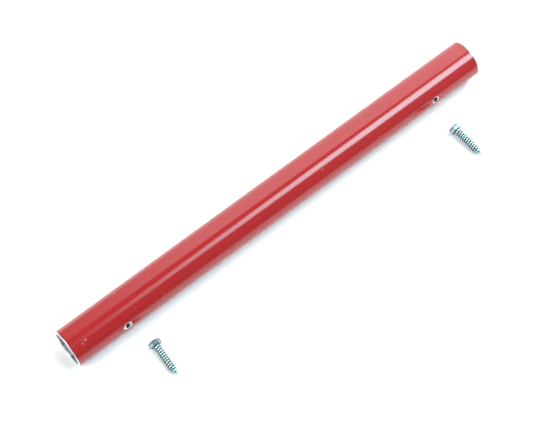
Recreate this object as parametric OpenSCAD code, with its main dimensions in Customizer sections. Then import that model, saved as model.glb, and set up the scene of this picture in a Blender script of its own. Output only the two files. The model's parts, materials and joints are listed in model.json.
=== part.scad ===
// Drilled round sleeve tube with its two loose hex-head self-tapping screws.
//
// The tube lies along +X, with its centre at the origin and the floor at the tube's
// lowest line. A screw hole is drilled through one wall near each end, on the -Y side.
// The two screws lie on the floor on the same side, each with its head towards the tube.
// All sizes are in millimetres and all angles in degrees.

/* [Tube] */
// Outside diameter of the tube
tube_od = 22.225; // [19:0.025:32]
// Wall thickness of the tube
tube_wall = 1.475; // [1:0.025:2.5]
// Length of the tube
tube_len = 278; // [240:0.5:400]
// Width of the bevel on the outer corner of both cut ends
end_bevel = 0.35; // [0.1:0.05:0.8]

/* [Screw holes] */
// Diameter of each pilot hole, between the screw's root and its thread crest
hole_d = 3.5; // [3.2:0.1:4]
// Distance from each end of the tube to its hole's axis
hole_inset = 32.3; // [20:0.1:60]
// Height of the holes' common direction above horizontal
hole_tilt = 16.5; // [0:0.5:60]

/* [Screw head] */
// Size across the flats of the hex head
head_flats = 6.35; // [6:0.05:8]
// Height of the hex head
head_h = 2.65; // [2.3:0.05:3.5]
// Chamfer angle of the head's outer corners, from the end face
head_chamfer = 30; // [15:1:40]

/* [Screw thread] */
// Outside diameter of the thread
thread_d = 4.2; // [4:0.05:4.6]
// Diameter at the root of the thread
root_d = 3.05; // [2.9:0.05:3.3]
// Distance between turns of the right-hand thread
thread_pitch = 1.411; // [1.2:0.001:1.6]
// Length of the shank from under the head to the point
shank_len = 19.6; // [16:0.1:26]
// Length of the tapered gimlet point
point_len = 4.6; // [3.5:0.1:6]

/* [Screw places] */
// Head centre of the screw beside the open end, along the tube
near_screw_x = -100.3; // [-130:0.1:-60]
// Head centre of the screw beside the open end, across the tube
near_screw_y = -24.9; // [-60:0.1:-20]
// Direction of that screw's point on the floor, from +X
near_screw_turn = -93.2; // [-130:0.1:-50]
// Head centre of the screw beside the other end, along the tube
far_screw_x = 107.9; // [60:0.1:130]
// Head centre of the screw beside the other end, across the tube
far_screw_y = -28.7; // [-60:0.1:-20]
// Direction of that screw's point on the floor, from +X
far_screw_turn = -86.4; // [-130:0.1:-50]

/* [Hidden] */

// Radii of the tube
tube_r = tube_od / 2;
bore_r = tube_r - tube_wall;
// Height of the floor that the tube and the screws lie on
floor_z = -tube_r;
// Extra length that a cutting tool runs past the wall on each side
overrun = 1;
// Facets asked of the round tube, of each drilled hole and of the head's turned corners
tube_fn = 128;
hole_fn = 48;
head_fn = 48;

// Radius at the head's corners
head_corner_r = head_flats / 2 / cos(30);
// How far the shank reaches into the head, so that the two fuse
head_overlap = 0.2;

// Columns round the thread, and the profile of one turn from root to crest and back.
// Each point is [share of the pitch, share of the thread's depth].
columns = 32;
turn_profile = [[0, 0], [0.44, 0], [0.68, 1], [0.76, 1]];
points_per_turn = len(turn_profile);
// Whole turns from the head to where the last column still ends short of the point
turns = floor(shank_len / thread_pitch) - 1;
// Share of the pitch between the head's underside and the first point of the thread
first_gap = 0.05;
// Turns over which the thread grows to its full depth, starting under the head
run_in = 0.5;
// Radius at which the shank meets the point's tip
tip_blunt = 0.12;

// Downward tilt of a lying screw, which touches the floor with the edge of its head
// and with the last full turn of its thread
lying_tilt = atan((head_flats - thread_d) / 2 / (shank_len - point_len));

// Radius of the shank at distance z from the head, with its thread at a share of its
// depth, narrowing along the gimlet point
function shank_r(z, share) =
    let (full = root_d / 2 + share * (thread_d - root_d) / 2)
    let (taper = min(1, (shank_len - z) / point_len))
    max(tip_blunt, full * taper);

// Depth share of a profile point that lies a number of turns along the thread
function grown(along, share) = share * min(1, along / run_in);

// Point of one column, counted from the head
function thread_point(column, index) =
    let (along = floor(index / points_per_turn) + column / columns)
    let (profile = turn_profile[index % points_per_turn])
    let (z = thread_pitch * (along + profile[0] + first_gap))
    let (r = shank_r(z, grown(along, profile[1])))
    let (angle = 360 * column / columns)
    [r * cos(angle), r * sin(angle), z];

// Threaded shank as one closed surface: a ring inside the head, one helical column of
// points at each angle, and the tip. A column's neighbour across the seam lies one
// turn further on, so the faces there skip points_per_turn points.
module threaded_shank() {
    per_column = turns * points_per_turn;
    ring = [for (c = [0 : columns - 1])
        let (angle = 360 * c / columns)
        [root_d / 2 * cos(angle), root_d / 2 * sin(angle), -head_overlap]];
    body = [for (c = [0 : columns - 1], i = [0 : per_column - 1]) thread_point(c, i)];
    tip = [[0, 0, shank_len]];
    back = [[0, 0, -head_overlap]];
    tip_index = columns + len(body);
    back_index = tip_index + 1;

    // Index of a column's point, where -1 is the ring and past the end is the tip
    function at(c, i) =
        i < 0 ? c : i >= per_column ? tip_index : columns + c * per_column + i;

    // Faces between two neighbouring columns that share a turn
    inner_faces = [for (c = [0 : columns - 2], i = [-1 : per_column - 1])
        let (a = at(c, i), b = at(c, i + 1), d = at(c + 1, i), e = at(c + 1, i + 1))
        each i == per_column - 1 ? [[a, b, d]] : [[a, b, e], [a, e, d]]];

    // Faces across the seam, from the last column to the first one turn further on
    last = columns - 1;
    seam_start = [for (i = [-1 : points_per_turn - 2])
        [at(last, -1), at(0, i + 1), at(0, i)]];
    seam_faces = [for (i = [-1 : per_column - 1])
        let (j = i + points_per_turn)
        let (a = at(last, i), b = at(last, i + 1), d = at(0, j), e = at(0, j + 1))
        each b == tip_index && d == tip_index ? []
            : b == tip_index ? [[a, b, d]]
            : d == tip_index ? [[a, b, d]]
            : [[a, b, e], [a, e, d]]];
    back_faces = [for (c = [0 : columns - 1]) [back_index, c, (c + 1) % columns]];
    polyhedron(
        points = concat(ring, body, tip, back),
        faces = concat(inner_faces, seam_start, seam_faces, back_faces));
}

// Hex head with its outer corners turned down, standing on z = 0 towards -z, with
// a flat facing along x
module hex_head() {
    drop = (head_corner_r - head_flats / 2) * tan(head_chamfer);
    intersection() {
        translate([0, 0, -head_h])
            rotate([0, 0, 30])
            cylinder(r = head_corner_r, h = head_h, $fn = 6);
        rotate_extrude($fn = head_fn)
            polygon([
                [0, 0],
                [head_corner_r, 0],
                [head_corner_r, -head_h + drop],
                [head_flats / 2, -head_h],
                [0, -head_h]]);
    }
}

// One screw, with its head's underside at the origin and its point along +z
module screw() {
    color([0.66, 0.74, 0.78]) union() {
        hex_head();
        threaded_shank();
    }
}

// A screw lying on the floor: x and y place its head's underside, turn aims its point
module lying_screw(x, y, turn) {
    height = head_flats / 2 * cos(lying_tilt);
    translate([x, y, floor_z + height])
        rotate([0, 0, turn])
        rotate([0, 90 + lying_tilt, 0])
        screw();
}

// Cross-section of the tube's wall from one end to the other, to turn about its axis
module wall_profile() {
    half = tube_len / 2;
    polygon([
        [bore_r, -half],
        [tube_r - end_bevel, -half],
        [tube_r, -half + end_bevel],
        [tube_r, half - end_bevel],
        [tube_r - end_bevel, half],
        [bore_r, half]]);
}

// Drill for one screw hole, through the wall on the -Y side only
module drill(x) {
    translate([x, 0, 0])
        rotate([90 - hole_tilt, 0, 0])
        translate([0, 0, bore_r - overrun])
        cylinder(d = hole_d, h = tube_wall + 2 * overrun, $fn = hole_fn);
}

module sleeve_tube() {
    color([0.78, 0.12, 0.13]) difference() {
        rotate([0, 90, 0])
            rotate_extrude($fn = tube_fn)
            wall_profile();
        for (side = [-1, 1])
            drill(side * (tube_len / 2 - hole_inset));
    }
}

module near_screw() {
    lying_screw(near_screw_x, near_screw_y, near_screw_turn);
}

module far_screw() {
    lying_screw(far_screw_x, far_screw_y, far_screw_turn);
}

sleeve_tube();
near_screw();
far_screw();
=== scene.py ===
"""Red driving sleeve and its two loose self-tapping screws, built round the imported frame.

Everything is in metres, in the frame of the CAD model: the tube lies along X with its
centre at the origin, and the floor is one tube radius below it.
"""

import json
import math

import bpy
from mathutils import Matrix, Vector, noise


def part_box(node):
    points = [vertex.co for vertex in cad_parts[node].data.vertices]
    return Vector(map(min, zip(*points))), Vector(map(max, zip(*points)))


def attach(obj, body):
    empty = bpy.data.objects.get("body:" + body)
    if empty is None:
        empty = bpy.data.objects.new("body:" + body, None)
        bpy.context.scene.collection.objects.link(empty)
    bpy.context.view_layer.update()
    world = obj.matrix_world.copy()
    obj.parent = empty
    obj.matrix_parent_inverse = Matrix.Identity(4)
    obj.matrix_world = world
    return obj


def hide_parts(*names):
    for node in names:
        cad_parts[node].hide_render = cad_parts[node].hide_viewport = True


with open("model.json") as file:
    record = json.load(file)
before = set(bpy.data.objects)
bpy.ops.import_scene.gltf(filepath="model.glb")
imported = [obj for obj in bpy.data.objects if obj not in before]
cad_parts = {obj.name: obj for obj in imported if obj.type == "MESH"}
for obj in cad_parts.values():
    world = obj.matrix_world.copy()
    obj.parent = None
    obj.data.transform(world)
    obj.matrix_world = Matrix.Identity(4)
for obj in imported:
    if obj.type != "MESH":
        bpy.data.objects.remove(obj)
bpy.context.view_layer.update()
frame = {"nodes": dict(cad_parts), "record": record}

MM = 0.001
MOUNTS = {mount["name"]: mount for mount in frame["record"]["mounts"]}

# Tube, from the frame
TUBE_LOW, TUBE_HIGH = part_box("sleeve_tube")
HALF_LENGTH = (TUBE_HIGH.x - TUBE_LOW.x) / 2
TUBE_R = -TUBE_LOW.z
BORE_R = MOUNTS["tube_bore"]["dims"]["r_mm"] * MM
FLOOR_Z = TUBE_LOW.z
HOLES = [MOUNTS["near_screw_hole"], MOUNTS["far_screw_hole"]]
HOLE_R = HOLES[0]["dims"]["r_mm"] * MM
HOLE_AXIS = Vector(HOLES[0]["axis"]).normalized()
HOLE_ANGLE = math.atan2(HOLE_AXIS.z, HOLE_AXIS.y)

# Cut ends of the tube
RIM_BEVEL = 0.35 * MM
RIM_INNER_BREAK = 0.12 * MM

# Screws: a number 8 tapping screw with a hex head
HEAD_FLATS = 6.35 * MM
HEAD_HEIGHT = 2.65 * MM
THREAD_R = 2.1 * MM
ROOT_R = 1.525 * MM
PITCH = 1.411 * MM
SHANK_LENGTH = 19.6 * MM
POINT_LENGTH = 4.6 * MM
# Direction of each screw's point on the floor, in degrees from +X
SCREW_TURNS = {"near_screw": -93.2, "far_screw": -86.4}
# How hazy each screw's head is, and how much painted shade darkens the crest of its thread
SCREW_HAZE_AND_SHADE = {"near_screw": (0.22, 0.5), "far_screw": (0.0, 0.8)}

# Bare ring round each hole: its width, and whether it runs to a point towards -X
HOLE_CHIPS = [(0.28 * MM, True), (0.12 * MM, False)]
# Small rubs in the paint: place along the tube, degrees from +Y towards +Z, and radius
RUBS = [
    (-129.7 * MM, 119, 0.50 * MM),
    (-132.0 * MM, 123, 0.55 * MM),
    (-103.0 * MM, 56, 0.35 * MM),
    (27.9 * MM, 125, 0.35 * MM),
    (80.7 * MM, 140, 0.40 * MM),
]

# Camera: its direction and distance from the point it aims at, and its focal length on a
# sensor 36 mm wide
CAMERA_ELEVATION = math.radians(65.16)
CAMERA_AZIMUTH = math.radians(-38.89)
CAMERA_DISTANCE = 835.7 * MM
CAMERA_AIM = Vector((-8.4, -3.2, 0.0)) * MM
CAMERA_LENS = 104.27
CAMERA_SENSOR = 36


# ---------------------------------------------------------------- helpers


def mesh_object(name, points, faces, materials, face_slots=None, sharp=None):
    """New object from points and faces, smooth shaded, with edges over sharp degrees hard."""
    mesh = bpy.data.meshes.new(name)
    mesh.from_pydata(points, [], faces)
    for material in materials:
        mesh.materials.append(material)
    if face_slots:
        mesh.polygons.foreach_set("material_index", face_slots)
    mesh.shade_smooth()
    if sharp:
        mesh.set_sharp_from_angle(angle=math.radians(sharp))
    mesh.validate()
    piece = bpy.data.objects.new(name, mesh)
    bpy.context.scene.collection.objects.link(piece)
    return piece


def smooth_step(low, high, value):
    """0 below low, 1 above high, and a smooth rise between them."""
    t = min(1.0, max(0.0, (value - low) / (high - low)))
    return t * t * (3 - 2 * t)


def on_tube(x, angle, radius):
    """Point at a radius from the tube's axis, with its angle from +Y towards +Z."""
    return Vector((x, radius * math.cos(angle), radius * math.sin(angle)))


class Shader:
    """Makes and links the nodes of one node tree. A value given to a method is a number, a
    tuple or another node's output. Where it doesn't say otherwise, a method returns the
    new node's output."""

    def __init__(self, tree):
        self.tree = tree
        self.tree.nodes.clear()

    def node(self, kind, **settings):
        """New node itself, with some of its settings changed."""
        made = self.tree.nodes.new(kind)
        for name, value in settings.items():
            setattr(made, name, value)
        return made

    def plug(self, socket, value):
        """Gives one input its value."""
        if isinstance(value, bpy.types.NodeSocket):
            self.tree.links.new(value, socket)
        else:
            socket.default_value = value

    def fill(self, node, **inputs):
        """Gives a node's inputs their values by name, with _ for a space."""
        for name, value in inputs.items():
            self.plug(node.inputs[name.replace("_", " ")], value)
        return node

    def math(self, operation, a, b=0.0):
        node = self.node("ShaderNodeMath", operation=operation)
        self.plug(node.inputs[0], a)
        self.plug(node.inputs[1], b)
        return node.outputs[0]

    def plus(self, a, b):
        return self.math("ADD", a, b)

    def minus(self, a, b):
        return self.math("SUBTRACT", a, b)

    def times(self, a, b):
        return self.math("MULTIPLY", a, b)

    def larger(self, a, b):
        return self.math("MAXIMUM", a, b)

    def weighted(self, base, *terms):
        """A base number plus each (output, weight) of the terms."""
        total = base
        for output, weight in terms:
            total = self.plus(self.times(output, weight), total)
        return total

    def vector_math(self, operation, a, b=(0, 0, 0)):
        node = self.node("ShaderNodeVectorMath", operation=operation)
        self.plug(node.inputs[0], a)
        self.plug(node.inputs[1], b)
        gives_number = operation in ("LENGTH", "DOT_PRODUCT")
        return node.outputs["Value" if gives_number else "Vector"]

    def scaled(self, vector, factors):
        return self.vector_math("MULTIPLY", vector, factors)

    def length(self, vector):
        return self.vector_math("LENGTH", vector)

    def separate(self, vector):
        """The three outputs x, y and z of a vector."""
        return self.fill(self.node("ShaderNodeSeparateXYZ"), Vector=vector).outputs

    def ramp(self, value, low, high, to_low=0.0, to_high=1.0):
        """to_low below low, to_high above high, and a smooth change between them."""
        node = self.node("ShaderNodeMapRange", interpolation_type="SMOOTHSTEP")
        self.fill(
            node, Value=value, From_Min=low, From_Max=high, To_Min=to_low, To_Max=to_high)
        return node.outputs[0]

    def blend(self, factor, a, b):
        """Colour a where factor is 0, and colour b where it is 1."""
        node = self.node("ShaderNodeMix", data_type="RGBA")
        self.plug(node.inputs[0], factor)
        self.plug(node.inputs[6], a)
        self.plug(node.inputs[7], b)
        return node.outputs[2]

    def bump(self, height, distance, strength):
        """Normal of a surface raised by height times distance."""
        node = self.node("ShaderNodeBump")
        return self.fill(node, Height=height, Distance=distance, Strength=strength).outputs[0]

    def principled(self, **inputs):
        return self.fill(self.node("ShaderNodeBsdfPrincipled"), **inputs).outputs[0]

    def background(self, colour, strength):
        node = self.node("ShaderNodeBackground")
        return self.fill(node, Color=colour, Strength=strength).outputs[0]

    def mix_shaders(self, factor, a, b):
        """Shader a where factor is 0, and shader b where it is 1."""
        node = self.node("ShaderNodeMixShader")
        for socket, value in zip(node.inputs, (factor, a, b)):
            self.plug(socket, value)
        return node.outputs[0]

    def add_shaders(self, a, b):
        node = self.node("ShaderNodeAddShader")
        for socket, value in zip(node.inputs, (a, b)):
            self.plug(socket, value)
        return node.outputs[0]


class MaterialShader(Shader):
    """Nodes of one new material, with places measured in its piece's own metres."""

    def __init__(self, name):
        self.material = bpy.data.materials.new(name)
        self.material.use_nodes = True
        super().__init__(self.material.node_tree)
        self.coords = self.node("ShaderNodeTexCoord").outputs["Object"]

    def noise(self, size, detail, squeeze=(1, 1, 1)):
        """Noise from 0 to 1 whose blobs are about size metres across. A squeeze under 1
        draws them out along its axis."""
        node = self.node("ShaderNodeTexNoise")
        vector = self.scaled(self.coords, squeeze)
        return self.fill(node, Vector=vector, Scale=1 / size, Detail=detail).outputs["Fac"]

    def finish(self, surface):
        """Makes a shader the material's surface and returns the material."""
        self.fill(self.node("ShaderNodeOutputMaterial"), Surface=surface)
        return self.material


# ---------------------------------------------------------------- materials

# Colours, as linear red, green, blue and alpha
STAINED_STEEL = (0.26, 0.28, 0.29, 1)
CLEAN_STEEL = (0.82, 0.83, 0.84, 1)
SAWN_DARK = (0.70, 0.71, 0.72, 1)
SAWN_LIGHT = (0.92, 0.93, 0.94, 1)
CHIPPED_STEEL = (0.86, 0.87, 0.88, 1)
PAINT_DEEP = (0.325, 0.0165, 0.0175, 1)
PAINT_THIN = (0.358, 0.0195, 0.0205, 1)
DUST = (0.62, 0.30, 0.29, 1)
ZINC_DARK = (0.38, 0.52, 0.55, 1)
ZINC_LIGHT = (0.46, 0.57, 0.60, 1)
ZINC_HEAD = (0.35, 0.42, 0.455, 1)
# Painted shade on the thread's flanks and on the neck under the head
ZINC_FLANK_SHADE = (0.015, 0.10, 0.11, 1)
# Painted shade on the turned corners of the head
ZINC_CROWN_SHADE = (0.01, 0.02, 0.03, 1)
ZINC_EDGE_TINT = (0.3, 0.45, 0.5, 1)
# Darker grazing reflections where the painted shade lies
ZINC_SHADE_EDGE_TINT = (0.03, 0.06, 0.07, 1)
FLOOR_LIT = (0.97, 0.925, 0.905, 1)
FLOOR_UNLIT = (0.06, 0.06, 0.06, 1)

# Size and depth of the ragged edge of bare metal
CHIP_ROUGHNESS = 0.55 * MM
# Share of the distance along -X that counts at a pointed chip, which makes it long
TAIL_SLOPE = 0.70
# Bareness of a rub, where only the top of the paint is gone
RUB_BARENESS = 0.22
# Places along Y between which the floor, as the glossy pieces reflect it, becomes lit
FLOOR_UNLIT_TO = -0.13
FLOOR_LIT_FROM = -0.035


def bare_steel():
    """Drawn steel inside the tube, with fine lines along it and dark stains."""
    shader = MaterialShader("bare_steel")
    lines = shader.noise(0.12 * MM, detail=3, squeeze=(0.02, 1, 1))
    blots = shader.noise(2.2 * MM, detail=3, squeeze=(0.2, 1, 1))
    return shader.finish(shader.principled(
        Base_Color=shader.blend(shader.ramp(blots, 0.38, 0.62), STAINED_STEEL, CLEAN_STEEL),
        Metallic=1.0,
        Roughness=shader.weighted(0.37, (lines, 0.16)),
        Normal=shader.bump(lines, 0.01 * MM, 0.6)))


def cut_steel():
    """Sawn and deburred faces of the rims and the holes' walls."""
    shader = MaterialShader("cut_steel")
    saw = shader.noise(0.15 * MM, detail=3, squeeze=(1, 0.15, 1))
    return shader.finish(shader.principled(
        Base_Color=shader.blend(saw, SAWN_DARK, SAWN_LIGHT),
        Metallic=1.0,
        Roughness=0.34,
        Normal=shader.bump(saw, 0.02 * MM, 0.7)))


def hole_offset(shader, hole):
    """Offset from a hole's axis, square to that axis, and 1 on the far side of the tube,
    where the axis meets a wall that isn't drilled."""
    axis = tuple(HOLE_AXIS)
    offset = shader.vector_math("SUBTRACT", shader.coords, tuple(hole["pos_m"]))
    along = shader.vector_math("DOT_PRODUCT", offset, axis)
    across = shader.vector_math("SUBTRACT", offset, shader.scaled(along, axis))
    return across, shader.math("LESS_THAN", along, -BORE_R)


def tail_distance(shader, offset):
    """Distance whose lines run to a point towards -X, and which is huge on the +X side."""
    x = shader.separate(offset)[0]
    behind = shader.times(shader.math("ABSOLUTE", x), TAIL_SLOPE)
    beside = shader.length(shader.scaled(offset, (0, 1, 1)))
    ahead = shader.math("GREATER_THAN", x, 0.0)
    return shader.plus(shader.plus(behind, beside), ahead)


def bare_at_hole(shader, hole, width, has_tail, ragged):
    """1 where the paint is chipped off round a hole."""
    offset, far_side = hole_offset(shader, hole)
    distance = shader.length(offset)
    if has_tail:
        distance = shader.math("MINIMUM", distance, tail_distance(shader, offset))
    distance = shader.minus(shader.plus(distance, far_side), ragged)
    return shader.ramp(distance, HOLE_R + width, HOLE_R + width + 0.08 * MM, 1.0, 0.0)


def bare_at_rub(shader, x, angle, radius, ragged):
    """A little above 0 where the paint is rubbed."""
    centre = tuple(on_tube(x, math.radians(angle), TUBE_R))
    distance = shader.length(shader.vector_math("SUBTRACT", shader.coords, centre))
    distance = shader.minus(distance, ragged)
    return shader.ramp(distance, radius - 0.30 * MM, radius - 0.10 * MM, RUB_BARENESS, 0.0)


def bare_at_ends(shader, ragged):
    """1 on the bevels of the tube's cut ends."""
    x = shader.separate(shader.coords)[0]
    from_end = shader.minus(HALF_LENGTH, shader.math("ABSOLUTE", x))
    from_end = shader.minus(from_end, shader.times(ragged, 0.35))
    return shader.ramp(from_end, RIM_BEVEL - 0.10 * MM, RIM_BEVEL + 0.02 * MM, 1.0, 0.0)


def red_paint():
    """Gloss red paint, with orange peel, dust, rubs and bare chips round the edges."""
    shader = MaterialShader("red_paint")
    peel = shader.noise(1.6 * MM, detail=1, squeeze=(0.6, 1, 1))
    drift = shader.noise(22 * MM, detail=1, squeeze=(0.25, 1, 1))
    grain = shader.noise(0.25 * MM, detail=2)
    specks = shader.ramp(shader.noise(0.9 * MM, detail=1), 0.765, 0.80)
    colour = shader.blend(drift, PAINT_DEEP, PAINT_THIN)
    colour = shader.blend(shader.times(specks, 0.35), colour, DUST)
    roughness = shader.weighted(0.075, (grain, 0.03), (specks, 0.25))

    ragged = shader.times(shader.noise(CHIP_ROUGHNESS, detail=3), CHIP_ROUGHNESS)
    bare = bare_at_ends(shader, ragged)
    for hole, (width, has_tail) in zip(HOLES, HOLE_CHIPS):
        bare = shader.larger(bare, bare_at_hole(shader, hole, width, has_tail, ragged))
    for x, angle, radius in RUBS:
        bare = shader.larger(bare, bare_at_rub(shader, x, angle, radius, ragged))

    height = shader.minus(shader.times(peel, 0.10), bare)
    normal = shader.bump(height, 0.05 * MM, 0.5)
    paint = shader.principled(Base_Color=colour, Roughness=roughness, IOR=1.5, Normal=normal)
    metal = shader.principled(
        Base_Color=CHIPPED_STEEL, Metallic=1.0, Roughness=0.32, Normal=normal)
    return shader.finish(shader.mix_shaders(bare, paint, metal))


def zinc_plate(name, haze, crest_shade):
    """Bright zinc with a blue-green tint, with painted shade on the flanks of the thread, on
    the neck and on the turned corners of the head, and duller on the rest of the head."""
    shader = MaterialShader(name)
    z = shader.separate(shader.coords)[2]
    radius = shader.length(shader.scaled(shader.coords, (1, 1, 0)))
    patches = shader.noise(1.8 * MM, detail=2)
    grain = shader.noise(0.12 * MM, detail=2)

    head = shader.ramp(z, 0.0, 0.05 * MM, 1.0, 0.0)
    above_root = shader.ramp(radius, ROOT_R + 0.02 * MM, ROOT_R + 0.10 * MM)
    below_crest = shader.ramp(
        radius, THREAD_R - 0.08 * MM, THREAD_R - 0.02 * MM, 1.0, crest_shade)
    neck = shader.ramp(z, 0.35 * MM, 0.75 * MM, 1.0, 0.0)
    # Painted shade: the flanks and the neck are darkened, and the crest by the share given for
    # each screw
    dark = shader.larger(shader.times(above_root, below_crest), neck)
    dark = shader.times(dark, shader.minus(1.0, head))
    # Painted shade: the cone that turns down the head's corners is coloured near-black
    at_end_face = shader.ramp(
        z, -HEAD_HEIGHT + 0.45 * MM, -HEAD_HEIGHT + 0.90 * MM, 1.0, 0.0)
    at_corners = shader.ramp(radius, 0.90 * HEAD_FLATS / 2, 0.96 * HEAD_FLATS / 2)
    crown_shade = shader.times(at_end_face, at_corners)

    colour = shader.blend(shader.ramp(patches, 0.35, 0.65), ZINC_DARK, ZINC_LIGHT)
    colour = shader.blend(shader.times(head, 0.9), colour, ZINC_HEAD)
    colour = shader.blend(dark, colour, ZINC_FLANK_SHADE)
    colour = shader.blend(crown_shade, colour, ZINC_CROWN_SHADE)
    return shader.finish(shader.principled(
        Base_Color=colour,
        Metallic=shader.minus(1.0, shader.times(head, haze)),
        Roughness=shader.weighted(0.06, (patches, 0.08), (head, 0.14), (dark, 0.10)),
        Normal=shader.bump(grain, 0.004 * MM, 0.4),
        # Painted shade also darkens the grazing reflections on the shaded places
        Specular_Tint=shader.blend(
            shader.larger(dark, crown_shade), ZINC_EDGE_TINT, ZINC_SHADE_EDGE_TINT)))


def white_floor():
    """Plain matt white floor. As the glossy pieces reflect it, it is lit only from a little
    in front of the tube onwards."""
    shader = MaterialShader("white_floor")
    y = shader.separate(shader.coords)[1]
    unlit = shader.ramp(y, FLOOR_UNLIT_TO, FLOOR_LIT_FROM, 1.0, 0.0)
    reflected = shader.node("ShaderNodeLightPath").outputs["Is Glossy Ray"]
    return shader.finish(shader.principled(
        Base_Color=shader.blend(shader.times(unlit, reflected), FLOOR_LIT, FLOOR_UNLIT),
        Roughness=0.9,
        Specular_IOR_Level=0.1))


# ---------------------------------------------------------------- tube

COLUMNS = 160          # facets round the tube
COLUMN_STEP = 2 * math.pi / COLUMNS
WINDOW = 10            # columns from a hole's centre to the edge of its own patch
WINDOW_HALF = WINDOW * COLUMN_STEP * TUBE_R
RINGS = 9              # rings of faces between a hole and the edge of its patch
RING_EASE = 0.55       # below 1, the rings crowd towards the hole
MIDDLE_ROWS = 24       # stretches between the two patches
END_ROWS = 6           # stretches between a patch and the end of the paint
END_LINE = 0.15 * MM   # last stretch of paint before the bevel
BURR_HEIGHT = 0.10 * MM
BURR_RIPPLE = 0.06 * MM
BURR_WIDTH = 0.32 * MM
BURR_WAVES = 2.3       # scale of the noise that ripples the burr
BURR_CHANGE = 3.7      # step through that noise from one hole to the next

# Material slots of the tube
PAINTED, INSIDE, CUT = range(3)


class Skin:
    """Points and faces of one mesh, with the material slot of each face."""

    def __init__(self):
        self.points = []
        self.faces = []
        self.slots = []

    def add_point(self, point):
        """Index of a new point."""
        self.points.append(point)
        return len(self.points) - 1

    def add_face(self, corners, slot, flip=False):
        self.faces.append(tuple(reversed(corners)) if flip else tuple(corners))
        self.slots.append(slot)

    def add_strip(self, first, second, slot, flip=False):
        """Closed strip of faces between two rings of points."""
        for k in range(len(first)):
            n = (k + 1) % len(first)
            self.add_face((first[k], first[n], second[n], second[k]), slot, flip)


def patch_border():
    """Grid steps (along, round) of the square border of a hole's patch, in order."""
    side = range(-WINDOW, WINDOW)
    border = [(i, -WINDOW) for i in side]
    border += [(WINDOW, i) for i in side]
    border += [(-i, WINDOW) for i in side]
    border += [(-WINDOW, -i) for i in side]
    return border


def row_places():
    """Places of the grid's rows along the tube, with a fine stretch at each hole."""
    step = WINDOW_HALF / WINDOW
    places = []
    for hole in HOLES:
        places += [hole["pos_m"][0] + i * step for i in range(-WINDOW, WINDOW + 1)]
    first, last = places[0], places[-1]
    low, high = places[2 * WINDOW], places[2 * WINDOW + 1]
    places += [low + (high - low) * i / MIDDLE_ROWS for i in range(1, MIDDLE_ROWS)]
    for end, start in ((-1, first), (1, last)):
        edge = end * (HALF_LENGTH - RIM_BEVEL)
        places += [start + (edge - start) * i / END_ROWS for i in range(1, END_ROWS)]
        places += [edge - end * END_LINE, edge]
    return sorted(places)


def burr_height(number, angle, edge_distance):
    """Height of the raised lip round a hole, which the drill pushed up."""
    place = Vector((math.cos(angle), math.sin(angle), BURR_CHANGE * number))
    ripple = noise.noise(place * BURR_WAVES)
    lip = BURR_HEIGHT + BURR_RIPPLE * ripple
    return lip * math.exp(-((edge_distance / BURR_WIDTH) ** 2))


def hole_point(centre_x, radius, direction, distance, lift):
    """Point of a wall, raised by lift, at a distance from a hole's axis and in a direction
    round it."""
    across = distance * math.sin(direction)
    angle = HOLE_ANGLE + math.asin(across / radius)
    return on_tube(centre_x + distance * math.cos(direction), angle, radius + lift)


def hole_patch(skin, number, radius, outer, slot, outside):
    """Rings of faces from a patch's border to its hole. Returns the ring at the hole."""
    centre_x = HOLES[number]["pos_m"][0]
    previous = outer
    for ring in range(1, RINGS + 1):
        ease = (ring / RINGS) ** RING_EASE
        loop = []
        for (_, column), far in zip(patch_border(), outer):
            x_far = skin.points[far].x - centre_x
            across_far = radius * math.sin(column * COLUMN_STEP)
            direction = math.atan2(across_far, x_far)
            reach = math.hypot(across_far, x_far)
            distance = reach + (HOLE_R - reach) * ease
            lift = burr_height(number, direction, distance - HOLE_R) if outside else 0.0
            loop.append(skin.add_point(
                hole_point(centre_x, radius, direction, distance, lift)))
        skin.add_strip(previous, loop, slot, flip=outside)
        previous = loop
    return previous


def round_wall(skin, radius, rows, slot, outside):
    """One round wall with a patch round each hole. Returns its first and last rings and
    the ring of points at each hole."""
    middles = [
        min(range(len(rows)), key=lambda i: abs(rows[i] - hole["pos_m"][0]))
        for hole in HOLES]

    index = {}
    for i, x in enumerate(rows):
        for j in range(COLUMNS):
            around = j if j <= COLUMNS // 2 else j - COLUMNS
            in_patch = abs(around) < WINDOW and any(
                abs(i - middle) < WINDOW for middle in middles)
            if not in_patch:
                index[i, j] = skin.add_point(on_tube(x, HOLE_ANGLE + j * COLUMN_STEP, radius))

    for i in range(len(rows) - 1):
        for j in range(COLUMNS):
            n = (j + 1) % COLUMNS
            around = j if j < COLUMNS // 2 else j - COLUMNS
            in_patch = -WINDOW <= around < WINDOW and any(
                middle - WINDOW <= i < middle + WINDOW for middle in middles)
            if not in_patch:
                corners = [index[i, j], index[i + 1, j], index[i + 1, n], index[i, n]]
                skin.add_face(corners, slot, flip=outside)

    hole_rings = []
    for number, middle in enumerate(middles):
        outer = [index[middle + a, b % COLUMNS] for a, b in patch_border()]
        hole_rings.append(hole_patch(skin, number, radius, outer, slot, outside))
    first_ring = [index[0, j] for j in range(COLUMNS)]
    last_ring = [index[len(rows) - 1, j] for j in range(COLUMNS)]
    return first_ring, last_ring, hole_rings


def rim_profile():
    """Points (place along the tube, radius) of a cut end, from the bevel into the bore."""
    face_r = TUBE_R - RIM_BEVEL
    return [
        (HALF_LENGTH - 0.30 * RIM_BEVEL, TUBE_R - 0.186 * RIM_BEVEL),
        (HALF_LENGTH - 0.10 * RIM_BEVEL, face_r + 0.30 * RIM_BEVEL),
        (HALF_LENGTH, face_r),
        (HALF_LENGTH, BORE_R + RIM_INNER_BREAK),
        (HALF_LENGTH - RIM_INNER_BREAK, BORE_R),
    ]


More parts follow.
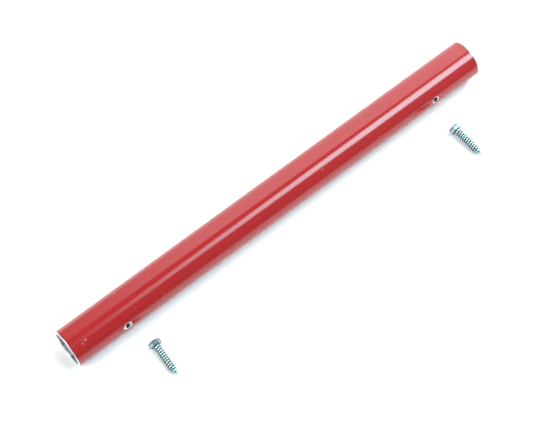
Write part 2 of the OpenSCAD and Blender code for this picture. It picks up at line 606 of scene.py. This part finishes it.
def cut_end(skin, end, out_ring, in_ring):
    """Bevel, face and inner edge of the cut end at -X or +X, between the two walls."""
    previous = out_ring
    for x, radius in rim_profile():
        ring = [
            skin.add_point(on_tube(end * x, HOLE_ANGLE + j * COLUMN_STEP, radius))
            for j in range(COLUMNS)]
        skin.add_strip(previous, ring, CUT, flip=end < 0)
        previous = ring
    skin.add_strip(previous, in_ring, CUT, flip=end < 0)


def tube_piece():
    """Sleeve tube as one closed wall with two drilled holes and deburred cut ends."""
    skin = Skin()
    rows = row_places()
    out_first, out_last, out_holes = round_wall(skin, TUBE_R, rows, PAINTED, True)
    in_first, in_last, in_holes = round_wall(skin, BORE_R, rows, INSIDE, False)
    cut_end(skin, -1, out_first, in_first)
    cut_end(skin, 1, out_last, in_last)
    for top, bottom in zip(out_holes, in_holes):
        skin.add_strip(top, bottom, CUT, flip=True)
    tube = mesh_object(
        "sleeve_tube_skin", skin.points, skin.faces,
        [red_paint(), bare_steel(), cut_steel()], skin.slots, sharp=50)
    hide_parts("sleeve_tube")
    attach(tube, "sleeve")


# ---------------------------------------------------------------- screws

SCREW_COLUMNS = 96
# One turn of the thread: share of the pitch and share of the depth
THREAD_PROFILE = [
    (0.00, 0.04), (0.10, 0.0), (0.34, 0.0), (0.44, 0.04), (0.48, 0.14),
    (0.665, 0.93), (0.69, 1.0), (0.75, 1.0), (0.775, 0.93), (0.96, 0.14)]
POINTS_PER_TURN = len(THREAD_PROFILE)
THREAD_START = 0.25 * MM
THREAD_PHASE = math.radians(60)     # where the thread starts, on the screw's lower side
THREAD_RUN_IN = 0.5                 # turns over which the thread grows to its full depth
POINT_EASE = 0.5                    # below 1, the point is fuller than a cone
TIP_R = 0.05 * MM
UNDERCUT = 0.18 * MM                # rounding between the head and the shank

# Hex head: the dish in its end face, and the cone that turns down its corners, from the
# share of the half flats where it starts to the share of the corners where it ends
DISH_DEPTH = 0.32 * MM
CROWN_SLOPE = math.tan(math.radians(30))
CROWN_START = 0.93
CROWN_END = 0.992


def hex_radius(angle):
    """Distance from the axis to the side of the hex head, with a flat facing angle 0."""
    sixth = math.pi / 3
    local = (angle + sixth / 2) % sixth - sixth / 2
    return HEAD_FLATS / 2 / math.cos(local)


def head_profile(angle):
    """Points (radius, height) of the head, from the middle of its end face to the shank.
    Heights run from minus the head's height at the end face to 0 at the underside."""
    side = hex_radius(angle)
    flat = HEAD_FLATS / 2
    end_face = -HEAD_HEIGHT
    crown_start = flat * CROWN_START
    crown_end = side * CROWN_END

    def crown_height(radius):
        return end_face + (radius - crown_start) * CROWN_SLOPE

    profile = [(flat * share, end_face + DISH_DEPTH) for share in (0.12, 0.3, 0.44)]
    profile += [(flat * 0.52, end_face + 0.20 * MM), (flat * 0.60, end_face + 0.04 * MM)]
    profile += [(flat * 0.66, end_face), (flat * 0.88, end_face)]
    for share in (0.0, 0.35, 0.7, 1.0):
        radius = crown_start + (crown_end - crown_start) * share
        profile.append((radius, crown_height(radius)))
    rim = crown_height(side)
    profile += [(side, rim + 0.10 * MM), (side, (rim - 0.15 * MM) / 2)]
    profile += [(side, -0.14 * MM), (side * 0.992, -0.04 * MM), (side * 0.965, 0.0)]
    profile += [(flat * 0.9, 0.0), (ROOT_R + 2 * UNDERCUT, 0.0)]
    profile += [(ROOT_R + 0.6 * UNDERCUT, 0.25 * UNDERCUT), (ROOT_R, UNDERCUT)]
    return profile


HEAD_POINTS = len(head_profile(0.0))


def thread_radius(z, depth_share, turns_done):
    """Radius of the shank at z, for a share of the thread's depth."""
    grown = depth_share * smooth_step(0.0, THREAD_RUN_IN, turns_done)
    full = ROOT_R + grown * (THREAD_R - ROOT_R)
    taper = min(1.0, (SHANK_LENGTH - z) / POINT_LENGTH)
    return max(TIP_R, full * taper ** POINT_EASE)


def screw_columns():
    """Points of each column of the screw, from the head's middle to its point."""
    turns = int((SHANK_LENGTH - THREAD_START) / PITCH) - 1
    columns = []
    for c in range(SCREW_COLUMNS):
        angle = THREAD_PHASE + 2 * math.pi * c / SCREW_COLUMNS
        outline = head_profile(angle)
        for k in range(turns * POINTS_PER_TURN):
            share, depth = THREAD_PROFILE[k % POINTS_PER_TURN]
            turns_done = k // POINTS_PER_TURN + c / SCREW_COLUMNS + share
            z = THREAD_START + PITCH * turns_done
            outline.append((thread_radius(z, depth, turns_done), z))
        columns.append([
            Vector((r * math.cos(angle), r * math.sin(angle), z)) for r, z in outline])
    return columns


def screw_mesh(name, material):
    """Screw with its underside at the origin and its point along +Z, as one closed skin."""
    columns = screw_columns()
    length = len(columns[0])
    points = [point for column in columns for point in column]
    middle = len(points)
    points.append(Vector((0, 0, columns[0][0].z)))
    tip = len(points)
    points.append(Vector((0, 0, SHANK_LENGTH)))
    faces = []

    def at(c, i):
        """Index of a column's point, where past the end is the tip."""
        return tip if i >= length else c * length + i

    def add_face(c, i, d, j):
        """Face between the points i and i + 1 of column c, and j and j + 1 of column d."""
        corners = [at(c, i), at(d, j), at(d, j + 1), at(c, i + 1)]
        unique = [p for n, p in enumerate(corners) if p != corners[n - 1]]
        if len(unique) > 2:
            faces.append(tuple(unique))

    # Head, all the way round
    neck = HEAD_POINTS - 1
    last = SCREW_COLUMNS - 1
    for c in range(SCREW_COLUMNS):
        n = (c + 1) % SCREW_COLUMNS
        faces.append((middle, at(n, 0), at(c, 0)))
        for i in range(neck):
            add_face(c, i, n, i)

    # Shank, up to the seam, where the next column lies one turn further on
    for c in range(last):
        for i in range(neck, length):
            add_face(c, i, c + 1, i)
    for i in range(neck, neck + POINTS_PER_TURN):
        faces.append((at(last, neck), at(0, i), at(0, i + 1)))
    for i in range(neck, length):
        add_face(last, i, 0, i + POINTS_PER_TURN)
    return mesh_object(name, points, faces, [material], sharp=58)


def screw_piece(node, material):
    """Screw laid where its CAD node lies: its tip is the node's point furthest to -Y."""
    cad = frame["nodes"][node]
    tip = min((vertex.co for vertex in cad.data.vertices), key=lambda co: co.y)
    tilt = math.atan((HEAD_FLATS / 2 - THREAD_R) / (SHANK_LENGTH - POINT_LENGTH))
    turn = math.radians(SCREW_TURNS[node])
    place = Matrix.Rotation(turn, 4, "Z") @ Matrix.Rotation(math.pi / 2 + tilt, 4, "Y")
    start = Vector(tip) - place @ Vector((0, 0, SHANK_LENGTH))
    piece = screw_mesh(node + "_plated", material)
    piece.matrix_world = Matrix.Translation(start) @ place
    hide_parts(node)
    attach(piece, node)


# ---------------------------------------------------------------- studio

# The studio is painted on the sky as a function of direction, in the frame's axes. A
# band's four numbers are two parts of the direction, along X or Z, and the level at each.
BACKDROP_COLOUR = (0.88, 1.0, 1.03, 1)
BACKDROP_EDGE = math.radians(70.0)      # height of the white backdrop's upper edge
BACKDROP_EDGE_SOFTNESS = 0.05
BACKDROP_START = (0.06, 0.24, 0.0, 1.9)
BACKDROP_SLOPE = 1.7                    # how much brighter it gets towards +X
BACKDROP_END = (0.42, 0.56, 1.0, 0.35)
BACKDROP_END_SHADE = (0.15, 0.50, 0.8, 0.0)
BACKDROP_AT_FLOOR = 0.7
BACKDROP_GAIN_WITH_HEIGHT = 0.4

STRIP_COLOUR = (0.64, 1.0, 1.12, 1)
STRIP_TILT = math.radians(113.5)        # overhead strip lamp, from +Y over +Z
STRIP_EDGE = math.sin(math.radians(11.5))
STRIP_SHIFT = (0.15, 0.40, 0.02, -0.02)
STRIP_NARROWING = (0.15, 0.40, 1.15, 0.85)
STRIP_START = (0.09, 0.38, 0.0, 12.4)
STRIP_END = (0.48, 0.60, 1.0, 0.0)
STRIP_LOWEST = 0.3                      # height under which there is no strip

ROOM_COLOUR = (0.84, 1.0, 1.03, 1)
ROOM_BEFORE_OPEN_END = (-0.45, 0.0, 0.95, 0.06)
ROOM_PAST_FAR_END = (0.10, 0.80, 0.0, 0.5)
WHITE = (1, 1, 1, 1)

# Lamps: direction, distance, width and height in metres, power in watts, and colour
KEY_COLOUR = (1.0, 0.90, 0.87)
FILL_COLOUR = (1.0, 0.96, 0.93)
LAMPS = {
    "key": ((0.72, -0.05, 0.68), 0.9, 0.24, 0.24, 3.4, KEY_COLOUR),
    "side": ((0.72, 0.22, 0.62), 0.9, 0.22, 0.22, 1.3, KEY_COLOUR),
    "fill": ((-0.62, 0.22, 0.75), 1.4, 0.60, 1.0, 9.0, FILL_COLOUR),
}

FLOOR_HALF = 6.0
FLOOR_GAP = 0.01 * MM


def camera_away():
    """Direction away from the camera along the floor."""
    return Vector((-math.sin(CAMERA_AZIMUTH), math.cos(CAMERA_AZIMUTH), 0))


def link_aimed(name, data, place, towards):
    """New camera or lamp at a place, looking against a direction."""
    made = bpy.data.objects.new(name, data)
    made.location = place
    made.rotation_mode = "QUATERNION"
    made.rotation_quaternion = (-towards).to_track_quat("-Z", "Y")
    bpy.context.scene.collection.objects.link(made)
    return made


def camera():
    """Long lens looking down on the tube from the open end's side."""
    level = camera_away() * math.cos(CAMERA_ELEVATION)
    towards = Vector((0, 0, math.sin(CAMERA_ELEVATION))) - level
    data = bpy.data.cameras.new("camera")
    data.lens = CAMERA_LENS
    data.sensor_width = CAMERA_SENSOR
    data.clip_start = 0.02
    data.clip_end = 60
    place = CAMERA_AIM + towards * CAMERA_DISTANCE
    bpy.context.scene.camera = link_aimed("camera", data, place, towards)


def floor():
    """Wide white floor under the tube."""
    corners = [
        (x * FLOOR_HALF, y * FLOOR_HALF, FLOOR_Z - FLOOR_GAP)
        for x, y in ((-1, -1), (1, -1), (1, 1), (-1, 1))]
    mesh_object("floor", corners, [(0, 1, 2, 3)], [white_floor()])


def sky_backdrop(sky, direction, along, height):
    """Brightness of the white backdrop behind the object, darker low down past the far end."""
    up = Vector((0, 0, 1))
    normal = camera_away() * math.sin(BACKDROP_EDGE) - up * math.cos(BACKDROP_EDGE)
    behind = sky.ramp(
        sky.vector_math("DOT_PRODUCT", direction, tuple(normal)),
        -BACKDROP_EDGE_SOFTNESS, BACKDROP_EDGE_SOFTNESS)
    level = sky.plus(sky.ramp(along, *BACKDROP_START), sky.times(along, BACKDROP_SLOPE))
    level = sky.times(level, sky.ramp(along, *BACKDROP_END))
    past_end = sky.ramp(along, *BACKDROP_END[:2])
    shade = sky.times(past_end, sky.ramp(height, *BACKDROP_END_SHADE))
    level = sky.times(level, sky.minus(1.0, shade))
    level = sky.times(sky.larger(level, 0.0), behind)
    gain = sky.plus(sky.times(height, BACKDROP_GAIN_WITH_HEIGHT), BACKDROP_AT_FLOOR)
    return sky.times(level, gain)


def sky_strip(sky, direction, along, height):
    """Brightness of the long overhead lamp that draws the bright line along the tube."""
    across = (0, -math.sin(STRIP_TILT), math.cos(STRIP_TILT))
    offset = sky.vector_math("DOT_PRODUCT", direction, across)
    offset = sky.plus(offset, sky.ramp(along, *STRIP_SHIFT))
    offset = sky.times(sky.math("ABSOLUTE", offset), sky.ramp(along, *STRIP_NARROWING))
    inside = sky.ramp(offset, STRIP_EDGE * 0.6, STRIP_EDGE * 1.4, 1.0, 0.0)
    above = sky.math("GREATER_THAN", height, STRIP_LOWEST)
    level = sky.times(sky.ramp(along, *STRIP_START), sky.ramp(along, *STRIP_END))
    return sky.times(sky.times(inside, above), level)


def studio_sky():
    """Sky that the object reflects; the camera itself sees plain white."""
    world = bpy.data.worlds.new("studio")
    bpy.context.scene.world = world
    world.use_nodes = True
    sky = Shader(world.node_tree)
    direction = sky.node("ShaderNodeTexCoord").outputs["Generated"]
    along, _, height = sky.separate(direction)
    layers = [
        (BACKDROP_COLOUR, sky_backdrop(sky, direction, along, height)),
        (STRIP_COLOUR, sky_strip(sky, direction, along, height)),
        (ROOM_COLOUR, sky.ramp(along, *ROOM_BEFORE_OPEN_END)),
        (ROOM_COLOUR, sky.ramp(along, *ROOM_PAST_FAR_END)),
    ]
    total = None
    for colour, strength in layers:
        layer = sky.background(colour, strength)
        total = sky.add_shaders(total, layer) if total else layer
    seen = sky.node("ShaderNodeLightPath").outputs["Is Camera Ray"]
    shown = sky.mix_shaders(seen, total, sky.background(WHITE, 1.0))
    sky.fill(sky.node("ShaderNodeOutputWorld"), Surface=shown)


def lamps():
    """Two small lamps beyond the far end, which throw the soft shadows towards the open
    end, and a large one on the open end's side, which lightens them."""
    for name, (direction, distance, width, height, power, colour) in LAMPS.items():
        towards = Vector(direction).normalized()
        data = bpy.data.lights.new(name, "AREA")
        data.shape = "RECTANGLE"
        data.size = width
        data.size_y = height
        data.energy = power
        data.color = colour
        link_aimed(name, data, towards * distance, towards)


def colour_management():
    """Plain display of the scene's colours."""
    settings = bpy.context.scene.view_settings
    settings.view_transform = "Standard"
    settings.look = "None"
    settings.exposure = 0.0
    settings.gamma = 1.0


# ---------------------------------------------------------------- build

tube_piece()
# Each screw gets its head's haze and the painted shade on its thread
for screw_node, finish in SCREW_HAZE_AND_SHADE.items():
    screw_piece(screw_node, zinc_plate(screw_node + "_zinc", *finish))
floor()
studio_sky()
lamps()
camera()
colour_management()
